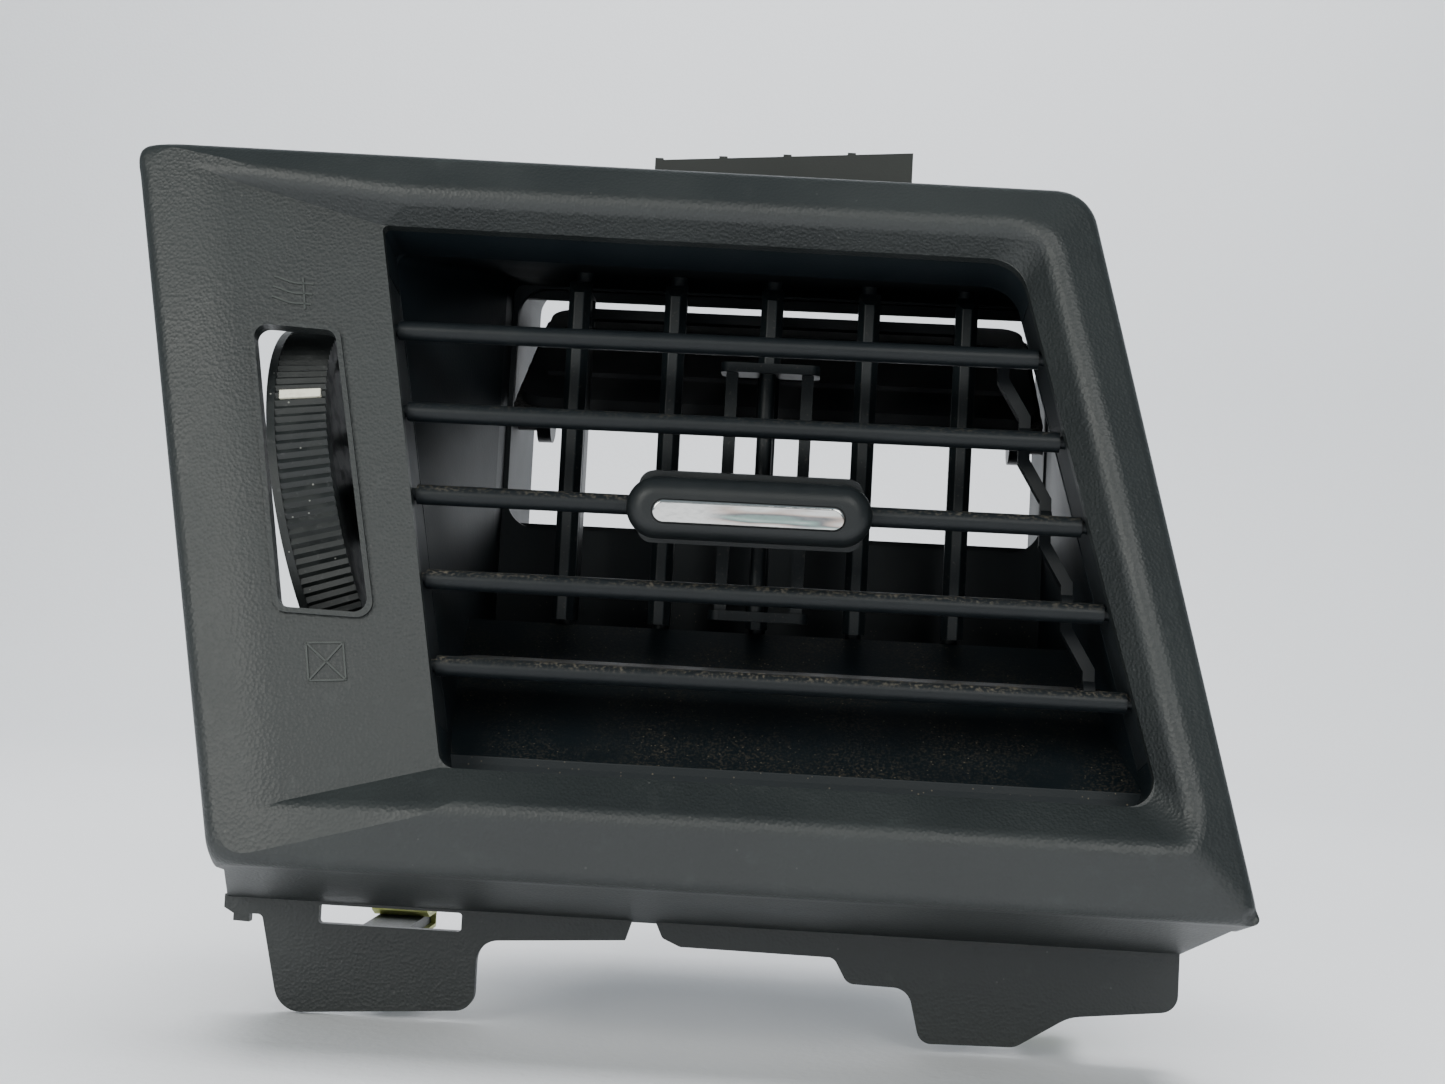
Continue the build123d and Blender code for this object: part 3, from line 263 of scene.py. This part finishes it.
polished_with_painted_sheen = Finish("polished_charcoal_painted_sheen")
scuffs = polished_with_painted_sheen.place.noise(0.0012, 4.0)
# Painted sheen: the strokes' colour is paler than the bezel's, standing for light off their polished tops.
polished_with_painted_sheen.give(
    Base_Color=scuffs.blend(rgb(0.034, 0.039, 0.037), rgb(0.056, 0.062, 0.058)),
    Roughness=0.3 + 0.12 * scuffs,
)

upright_bar = [(-81.9, 36.9), (-80.9, 31.1)]
draught_left, draught_top = -86.9, 36.6
draught_length, draught_pitch = 6.9, 1.9
draught_fall, draught_wave = 0.95, 0.22
draught_count, draught_steps = 3, 8
open_lines = [upright_bar]
for row in range(draught_count):
    draught = []
    for step in range(draught_steps + 1):
        part = step / draught_steps
        sway = draught_wave * math.cos(2.0 * math.pi * part)
        up = draught_top - draught_pitch * row - draught_fall * part + sway
        draught.append((draught_left + draught_length * part, up))
    open_lines.append(draught)
box_corners = [(-73.6, -28.5), (-67.5, -28.0), (-66.3, -34.3), (-72.4, -34.9)]
shut_lines = [box_corners + box_corners[:1], box_corners[0::2], box_corners[1::2]]
open_symbol = strokes("open_symbol", open_lines)
shut_symbol = strokes("shut_symbol", shut_lines)
for symbol in (open_symbol, shut_symbol):
    symbol.data.materials.append(polished_with_painted_sheen.material)
    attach(symbol, "frame")


# Housing
# Moulded from plain black polypropylene with an eggshell finish. Years of air have left
# brown dust on its floor; its roof tab, which stands in the light, is painted paler olive as painted light.
dusty_height, clean_height = -0.05, -0.03
tab_foot, tab_painted_lit = 0.0275, 0.029
speck_spacing = 0.0014

housing_black = Finish("housing_black")
up_facing = housing_black.facing.axis("Z").between(0.35, 0.9)
height = housing_black.place.axis("Z")
speckle = housing_black.place.noise(0.0005, 3.0).between(0.45, 0.7)
drift = housing_black.place.noise(0.012, 4.0).between(0.3, 0.65)
low_part = 1.0 - height.between(dusty_height, clean_height)
specks = housing_black.place.cells(speck_spacing).between(0.14, 0.08) * drift
floor_dust = up_facing * low_part * speckle * drift * 0.6
flow = housing_black.place.noise(0.02, 3.0)
black = flow.blend(rgb(0.0025, 0.0065, 0.0095), rgb(0.0055, 0.0105, 0.0140))
# Painted light: the roof tab is painted paler olive above its foot, for the light falling on it.
painted_lit_tab = height.between(tab_foot, tab_painted_lit).blend(black, rgb(0.016, 0.019, 0.017))
dusted = (floor_dust * 0.6).blend(painted_lit_tab, rgb(0.11, 0.09, 0.065))
housing_black.give(
    Base_Color=(specks * low_part * 0.5).blend(dusted, rgb(0.24, 0.20, 0.14)),
    Roughness=0.44 + 0.18 * flow + 0.2 * floor_dust,
    Specular_IOR_Level=0.4,
)
housing_black.bumps(housing_black.place.noise(0.0006, 3.0), 0.00003)
coat(housing_black, "housing")

# The short riser that joins the mouth's sleeve to the sloping floor, in section from the side
riser_left, riser_right = -0.0515, 0.0675
riser_section = (
    (-0.11480, -0.07160), (-0.11350, -0.07060), (-0.11290, -0.06940), (-0.11235, -0.06812),
    (-0.11080, -0.06925), (-0.11270, -0.07250), (-0.11372, -0.07420), (-0.11440, -0.07340),
)
riser_points = [(side, y, z) for side in (riser_left, riser_right) for y, z in riser_section]
corners = len(riser_section)
riser_faces = [tuple(range(corners)), tuple(range(2 * corners - 1, corners - 1, -1))]
for corner in range(corners):
    after = (corner + 1) % corners
    riser_faces.append((after, corner, corner + corners, after + corners))
floor_riser = mesh_piece("floor_riser", riser_points, riser_faces, smooth=False)
floor_riser.data.materials.append(housing_black.material)
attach(floor_riser, "frame")


# Pivot strips
# Two strips moulded from slippery black acetal, pushed into pockets beside the mouth. The
# front vanes' pins turn in their holes, and a thin film dulls them.
strip_acetal = Finish("strip_acetal")
film = strip_acetal.place.noise(0.006, 4.0)
strip_acetal.give(
    Base_Color=film.blend(rgb(0.009, 0.012, 0.014), rgb(0.016, 0.020, 0.023)),
    Roughness=0.48 + 0.15 * film,
    Specular_IOR_Level=0.35,
)
strip_acetal.bumps(strip_acetal.place.noise(0.0005), 0.00002)
coat(strip_acetal, "left_pivot_strip", "right_pivot_strip")


# Front vanes
# Five blades of glass-filled nylon with a satin face. Dust sits on their noses, more of it
# on the lower ones, where fingers don't reach.
vane_count = 5
dusty_vane, clean_vane = -0.045, 0.012


def numbered(name, count):
    """Names of a row of like nodes, numbered from 1."""
    return ["%s_%d" % (name, index + 1) for index in range(count)]


vane_satin = Finish("vane_satin")
vane_height = vane_satin.place.axis("Z")
facing_up = vane_satin.facing.axis("Z").between(0.1, 0.75)
low_down = 1.0 - vane_height.between(dusty_vane, clean_vane)
crumbs = vane_satin.place.noise(0.0006, 4.0).between(0.45, 0.7)
streaks = vane_satin.place.noise(0.012).between(0.35, 0.6)
vane_dust = facing_up * low_down * crumbs * (0.45 + 0.55 * streaks)
satin = vane_satin.place.noise(0.004, 4.0)
vane_black = satin.blend(rgb(0.004, 0.006, 0.008), rgb(0.008, 0.0105, 0.012))
vane_satin.give(
    Base_Color=(vane_dust * 0.7).blend(vane_black, rgb(0.125, 0.108, 0.08)),
    Roughness=0.36 + 0.12 * satin + 0.25 * vane_dust,
    Specular_IOR_Level=0.3,
)
vane_satin.bumps(vane_satin.place.noise(0.00045, 3.0), 0.00003)
coat(vane_satin, *numbered("front_vane", vane_count))


# Vane links
# Two bars of black acetal that snap on to the vanes' crank pins. The front one zig-zags down
# the right side of the mouth, and the rear one lies across the rear vanes.
link_acetal = Finish("link_acetal")
sink = link_acetal.place.noise(0.003, 3.0)
link_acetal.give(
    Base_Color=sink.blend(rgb(0.005, 0.007, 0.009), rgb(0.011, 0.013, 0.015)),
    Roughness=0.5 + 0.12 * sink,
    Specular_IOR_Level=0.3,
)
link_acetal.bumps(sink, 0.00004)
coat(link_acetal, "front_vane_link", "rear_vane_link")


# Rear vanes
# Upright blades of black polypropylene behind the front ones. The middle one carries a cage
# for the knob's fork. Grease and dust leave their faces uneven.
rear_black = Finish("rear_vane_black")
smear = rear_black.place.noise(0.007, 5.0)
rear_dust = rear_black.place.noise(0.0008, 3.0).between(0.6, 0.74) * 0.35
greased = smear.blend(rgb(0.004, 0.007, 0.009), rgb(0.010, 0.014, 0.016))
rear_black.give(
    Base_Color=rear_dust.blend(greased, rgb(0.09, 0.08, 0.07)),
    Roughness=0.34 + 0.2 * smear,
    Specular_IOR_Level=0.35,
)
rear_black.bumps(rear_black.place.noise(0.0005), 0.00003)
coat(rear_black, *numbered("rear_vane", vane_count))


# Knob
# A black shell clipped round the middle vane, with a bright plated insert pressed into its
# front. Streaks of painted reflection, dark, teal and brown, lie across the insert's left end.
# A rubber pad drags on the vane and a fork behind turns the rear vanes.
knob_black = Finish("knob_black")
touch = knob_black.place.noise(0.005, 4.0)
knob_black.give(
    Base_Color=touch.blend(rgb(0.005, 0.007, 0.008), rgb(0.010, 0.012, 0.013)),
    Roughness=0.34 + 0.16 * touch,
    Specular_IOR_Level=0.38,
)
knob_black.bumps(knob_black.place.noise(0.0004), 0.00003)
coat(knob_black, "knob_shell", "knob_fork")

reflection_band_width = 0.0016

plating = Finish("knob_plating")
trim_low, trim_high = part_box("knob_trim")
trim_middle = (trim_low + trim_high) / 2
trim_half = trim_high.z - trim_middle.z
haze = plating.place.noise(0.0012, 5.0)
stretched = {"Vector": plating.place, "Scale": (0.12, 1.0, 1.0)}
reflection_bands = plating.place.node("ShaderNodeMapping", {}, stretched).noise(reflection_band_width, 1.0)
up_trim = plating.place.axis("Z")
over_foot = up_trim.between(trim_middle.z - trim_half, trim_middle.z - 0.7 * trim_half)
at_top = up_trim.between(trim_middle.z + 0.45 * trim_half, trim_middle.z + 0.7 * trim_half)
# Painted reflection: streaks of dark, teal, brown and pale colour laid into the plating over the insert's
# left end.
reflection_end_mask = plating.place.axis("X").between(trim_middle.x - 0.009, trim_middle.x - 0.002)
painted_reflection_mask = over_foot * (1.0 - at_top) * reflection_end_mask
reflection_stops = [
    (0.30, (0.70, 0.69, 0.67)), (0.44, (0.46, 0.36, 0.31)), (0.53, (0.10, 0.11, 0.12)),
    (0.60, (0.16, 0.27, 0.24)), (0.72, (0.72, 0.71, 0.69)),
]
painted_reflection_colour = reflection_bands.node("ShaderNodeValToRGB", {"stops": reflection_stops}, {"Fac": reflection_bands})
silver = haze.blend(rgb(0.62, 0.62, 0.61), rgb(0.84, 0.83, 0.81))
plating.give(
    Base_Color=(0.85 * painted_reflection_mask).blend(silver, painted_reflection_colour),
    Metallic=1.0,
    Roughness=0.09 + 0.12 * haze,
)
plating.bumps(haze, 0.00003)
coat(plating, "knob_trim")

pad_rubber = Finish("pad_rubber")
pores = pad_rubber.place.noise(0.0003)
pad_rubber.give(Base_Color=pores.blend(rgb(0.014, 0.014, 0.014), rgb(0.03, 0.03, 0.03)), Roughness=0.85)
pad_rubber.bumps(pores, 0.00005)
coat(pad_rubber, "knob_pad")


# Thumb wheel
# Soft black rubber moulded over a nylon wheel, ribbed for the thumb. The crests are rubbed
# grey and a cream mark is let into the rim.
wheel_rubber = Finish("wheel_rubber")
rub = wheel_rubber.place.noise(0.0035, 5.0).between(0.42, 0.7)
chalk = wheel_rubber.place.noise(0.0011, 3.0).between(0.6, 0.75)
crumb = wheel_rubber.place.cells(0.0026).between(0.08, 0.05)
wheel_grey = (rub * 0.5).blend(rgb(0.008, 0.010, 0.010), rgb(0.020, 0.023, 0.022))
speckled = (crumb * 0.5).blend(wheel_grey, rgb(0.42, 0.42, 0.38))
wheel_rubber.give(
    Base_Color=(chalk * 0.25).blend(speckled, rgb(0.08, 0.08, 0.08)),
    Roughness=0.42 + 0.2 * rub,
)
wheel_rubber.bumps(wheel_rubber.place.noise(0.0005, 3.0), 0.00005)
coat(wheel_rubber, "thumb_wheel")

mark_cream = Finish("mark_cream")
grime = mark_cream.place.noise(0.0009, 4.0).between(0.45, 0.75)
mark_cream.give(Base_Color=(grime * 0.5).blend(rgb(0.90, 0.88, 0.72), rgb(0.62, 0.58, 0.44)), Roughness=0.5)
mark_cream.bumps(mark_cream.place.noise(0.0004), 0.00004)
coat(mark_cream, "wheel_mark")


# Damper
# A nylon plate that swings up out of the air, with a lever and a rod outside the duct. Its
# shut-off foam is a cut sheet of open cells, glued on and soft at its edges.
damper_nylon = Finish("damper_nylon")
sheen = damper_nylon.place.noise(0.008, 4.0)
damper_nylon.give(
    Base_Color=sheen.blend(rgb(0.014, 0.015, 0.017), rgb(0.028, 0.030, 0.033)),
    Roughness=0.35 + 0.2 * sheen,
)
damper_nylon.bumps(damper_nylon.place.noise(0.0006, 3.0), 0.00003)
coat(damper_nylon, "damper_plate", "damper_lever", "damper_rod")

open_cell = Finish("open_cell_foam")
foam_pores_and_shade = open_cell.place.cells(0.0008)
# Painted shade: each pore is painted darker towards its middle, where the bump sinks it.
open_cell.give(
    Base_Color=foam_pores_and_shade.between(0.1, 0.7).blend(rgb(0.008, 0.008, 0.008), rgb(0.045, 0.045, 0.045)),
    Roughness=0.95,
)
open_cell.bumps(foam_pores_and_shade + 0.4 * open_cell.place.noise(0.0004, 3.0), 0.0003)


def foam_from(node, name, voxel, ripple_size, ripple_depth, keep_in):
    """A soft copy of a node's solid: evenly meshed, slightly uneven and pulled in by keep_in."""
    mesh = nodes[node].data.copy()
    mesh.name = name
    piece = bpy.data.objects.new(name, mesh)
    bpy.context.scene.collection.objects.link(piece)
    even = piece.modifiers.new("even", "REMESH")
    even.mode, even.voxel_size = "VOXEL", voxel
    soft = piece.modifiers.new("soft", "SMOOTH")
    soft.factor, soft.iterations = 0.5, 3
    evaluated = piece.evaluated_get(bpy.context.evaluated_depsgraph_get())
    made = bpy.data.meshes.new_from_object(evaluated)
    piece.modifiers.clear()
    piece.data = made
    made.materials.clear()
    made.materials.append(open_cell.material)
    normals = [v.normal.copy() for v in made.vertices]
    for vertex, normal in zip(made.vertices, normals):
        lump = noise.noise(vertex.co / ripple_size)
        vertex.co += normal * (ripple_depth * lump - keep_in)
    for face in made.polygons:
        face.use_smooth = True
    return piece


damper_pad = foam_from(
    "damper_foam", "damper_pad", voxel=0.0007, ripple_size=0.004, ripple_depth=0.00012, keep_in=0.00012
)
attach(damper_pad, "damper")
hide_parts("damper_foam")


# Duct seal
# A strip of soft foam rubber glued round the collar's end and butted at the bottom. It is
# crowned where it stands free and flat where it grips the collar.
seal_half = (0.0612, 0.0367)
seal_corner = 0.0102
seal_width = 0.008
seal_thick = 0.004
seal_middle = -0.005
seal_spacing = 0.0025
seal_corner_steps = 10
seal_section_steps = 20
crown_power, grip_power, edge_power = 0.75, 0.35, 0.5
lump_size, lump_depth, draw_in = 0.006, 0.00025, 0.0003


def round_loop(half, corner, steps):
    """Points and outward directions round a rounded rectangle, in the duct's cross-section."""
    loop = []
    for turn, (side, up) in enumerate(((1, 1), (-1, 1), (-1, -1), (1, -1))):
        middle = (side * (half[0] - corner), up * (half[1] - corner))
        for step in range(steps + 1):
            angle = math.radians(90.0 * (turn + step / steps))
            way = (math.cos(angle), math.sin(angle))
            loop.append(((middle[0] + corner * way[0], middle[1] + corner * way[1]), way))
    return loop


def divided(loop, spacing):
    """The same loop with its straight runs cut up."""
    fine_loop = []
    for (start, way), (end, next_way) in zip(loop, loop[1:] + loop[:1]):
        gap = math.dist(start, end)
        count = max(1, int(gap / spacing))
        for step in range(count):
            part = step / count
            place = tuple(start[k] + (end[k] - start[k]) * part for k in (0, 1))
            lean_way = tuple(way[k] + (next_way[k] - way[k]) * part for k in (0, 1))
            fine_loop.append((place, lean_way))
    return fine_loop


seal_loop = divided(round_loop(seal_half, seal_corner, seal_corner_steps), seal_spacing)
seal_points, seal_faces = [], []
for place, way in seal_loop:
    for step in range(seal_section_steps):
        angle = 2.0 * math.pi * step / seal_section_steps
        out, along = math.cos(angle), math.sin(angle)
        out = math.copysign(abs(out) ** (crown_power if out > 0 else grip_power), out)
        along = math.copysign(abs(along) ** edge_power, along)
        point = Vector((
            place[0] + way[0] * out * seal_thick / 2,
            seal_middle + along * seal_width / 2,
            place[1] + way[1] * out * seal_thick / 2,
        ))
        if out > 0:
            lump = noise.noise(point / lump_size) * lump_depth - draw_in
            point += Vector((way[0], 0.0, way[1])) * lump
        seal_points.append(point)
rings = len(seal_loop)
for ring in range(rings):
    first = ring * seal_section_steps
    shift = (ring + 1) % rings * seal_section_steps - first
    for step in range(seal_section_steps):
        a, b = first + step, first + (step + 1) % seal_section_steps
        seal_faces.append((a, b, b + shift, a + shift))

seal_rubber = Finish("seal_foam_rubber")
seal_pits_and_shade = seal_rubber.place.cells(0.0011)
# Painted shade: each cell is painted darker towards its middle, where the bump sinks it.
seal_rubber.give(Base_Color=seal_pits_and_shade.blend(rgb(0.014, 0.014, 0.014), rgb(0.035, 0.035, 0.034)), Roughness=0.9)
seal_rubber.bumps(seal_pits_and_shade + 0.5 * seal_rubber.place.noise(0.0005, 3.0), 0.0002)
collar_seal = mesh_piece("collar_seal", seal_points, seal_faces)
collar_seal.data.materials.append(seal_rubber.material)
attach(collar_seal, "frame")
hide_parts("duct_seal")


# Screws and clips
# Zinc plated screws hold the housing to the bezel, and a shouldered one carries the wheel.
# The four clips are folded from spring steel with a yellow-green passivated surface.
clip_count = 4

zinc = Finish("zinc_plate")
spangle = zinc.place.noise(0.0012, 4.0)
zinc.give(
    Base_Color=spangle.blend(rgb(0.42, 0.43, 0.45), rgb(0.62, 0.63, 0.65)),
    Metallic=1.0,
    Roughness=0.28 + 0.2 * spangle,
)
zinc.bumps(zinc.place.noise(0.0003), 0.00002)
coat(zinc, "housing_screws", "wheel_axle")

passivated = Finish("yellow_passivated_steel")
tint = passivated.place.noise(0.003, 4.0).between(0.3, 0.7)
passivated.give(
    Base_Color=tint.blend(rgb(0.46, 0.50, 0.13), rgb(0.64, 0.66, 0.26)),
    Metallic=0.35,
    Roughness=0.38 + 0.15 * tint,
)
passivated.bumps(passivated.place.noise(0.0004), 0.00002)
coat(passivated, *numbered("retaining_clip", clip_count))


# Studio
# A pale floor that sweeps up into a backdrop behind the part, lit by soft lamps from both
# sides in front, from above and behind, with the camera at the photograph's place. The lamps
# above and behind don't mirror in the black plastic.
floor_gap = 0.0004
floor_level = cad_box[0].z - floor_gap
sweep_front, sweep_start, sweep_radius = -2.2, 0.62, 0.25
sweep_height, sweep_side = 1.4, 1.6
sweep_steps = 12
profile = [(sweep_front, floor_level), (sweep_start, floor_level)]
for step in range(1, sweep_steps + 1):
    angle = math.radians(90.0 * step / sweep_steps)
    rise = sweep_radius * (1 - math.cos(angle))
    profile.append((sweep_start + sweep_radius * math.sin(angle), floor_level + rise))
profile.append((sweep_start + sweep_radius, floor_level + sweep_height))
sweep_points = [(side * sweep_side, y, z) for y, z in profile for side in (-1, 1)]
sweep_faces = [(2 * k, 2 * k + 1, 2 * k + 3, 2 * k + 2) for k in range(len(profile) - 1)]
sweep = mesh_piece("studio_sweep", sweep_points, sweep_faces)
cloth = Finish("pale_cloth")
painted_fold_shade = cloth.place.noise(0.35, 3.0)
# Painted shade: the cloth is painted a little darker in broad patches, standing for its folds.
cloth.give(Base_Color=painted_fold_shade.blend(rgb(0.80, 0.81, 0.84), rgb(0.88, 0.89, 0.91)), Roughness=0.9)
cloth.bumps(cloth.place.noise(0.002, 3.0), 0.0002)
sweep.data.materials.append(cloth.material)


def lamp(name, place, target, size, power, colour=(1.0, 1.0, 1.0)):
    """A soft square lamp that faces a target."""
    light = bpy.data.lights.new(name, "AREA")
    light.shape, light.size, light.energy, light.color = "SQUARE", size, power, colour
    holder = bpy.data.objects.new(name, light)
    holder.location = place
    holder.rotation_mode = "QUATERNION"
    holder.rotation_quaternion = (Vector(target) - Vector(place)).to_track_quat("-Z", "Y")
    holder.visible_camera = False
    bpy.context.scene.collection.objects.link(holder)
    return holder


middle = (0.0, -0.08, -0.02)
lamp("key", (-0.50, -0.85, 0.25), middle, 0.42, 4.1, (1.0, 1.0, 0.94))
lamp("right_fill", (0.30, -1.0, 0.42), middle, 0.5, 4.2, (1.0, 1.0, 0.96))
for name, place, target, size, power in (
    ("overhead", (0.0, -0.1, 1.1), (0.0, -0.1, 0.0), 1.0, 15.0),
    ("rear", (0.0, 0.35, 1.0), (0.0, 0.87, 0.05), 0.8, 8.0),
):
    lamp(name, place, target, size, power).visible_glossy = False

world = bpy.data.worlds.new("room")
world.use_nodes = True
room_light = world.node_tree.nodes["Background"]
room_light.inputs["Color"].default_value = rgb(0.74, 0.87, 0.94)
room_light.inputs["Strength"].default_value = 0.30
bpy.context.scene.world = world

camera_place = Vector((0.011692, -0.452918, -0.04537))
camera_yaw, camera_pitch, camera_roll = (math.radians(turn) for turn in (3.028, -2.729, 3.057))
camera_back = Vector((
    math.sin(camera_yaw) * math.cos(camera_pitch),
    -math.cos(camera_yaw) * math.cos(camera_pitch),
    math.sin(camera_pitch),
))
level_right = (-camera_back).cross(Vector((0.0, 0.0, 1.0))).normalized()
level_up = level_right.cross(-camera_back)
camera_right = level_right * math.cos(camera_roll) + level_up * math.sin(camera_roll)
camera_up = level_up * math.cos(camera_roll) - level_right * math.sin(camera_roll)
lens = bpy.data.cameras.new("photo_camera")
lens.sensor_width, lens.lens = 36.0, 49.45
lens.clip_start, lens.clip_end = 0.01, 20.0
camera = bpy.data.objects.new("photo_camera", lens)
camera_turn = Matrix((camera_right, camera_up, camera_back)).transposed()
camera.matrix_world = Matrix.Translation(camera_place) @ camera_turn.to_4x4()
bpy.context.scene.collection.objects.link(camera)
bpy.context.scene.camera = camera
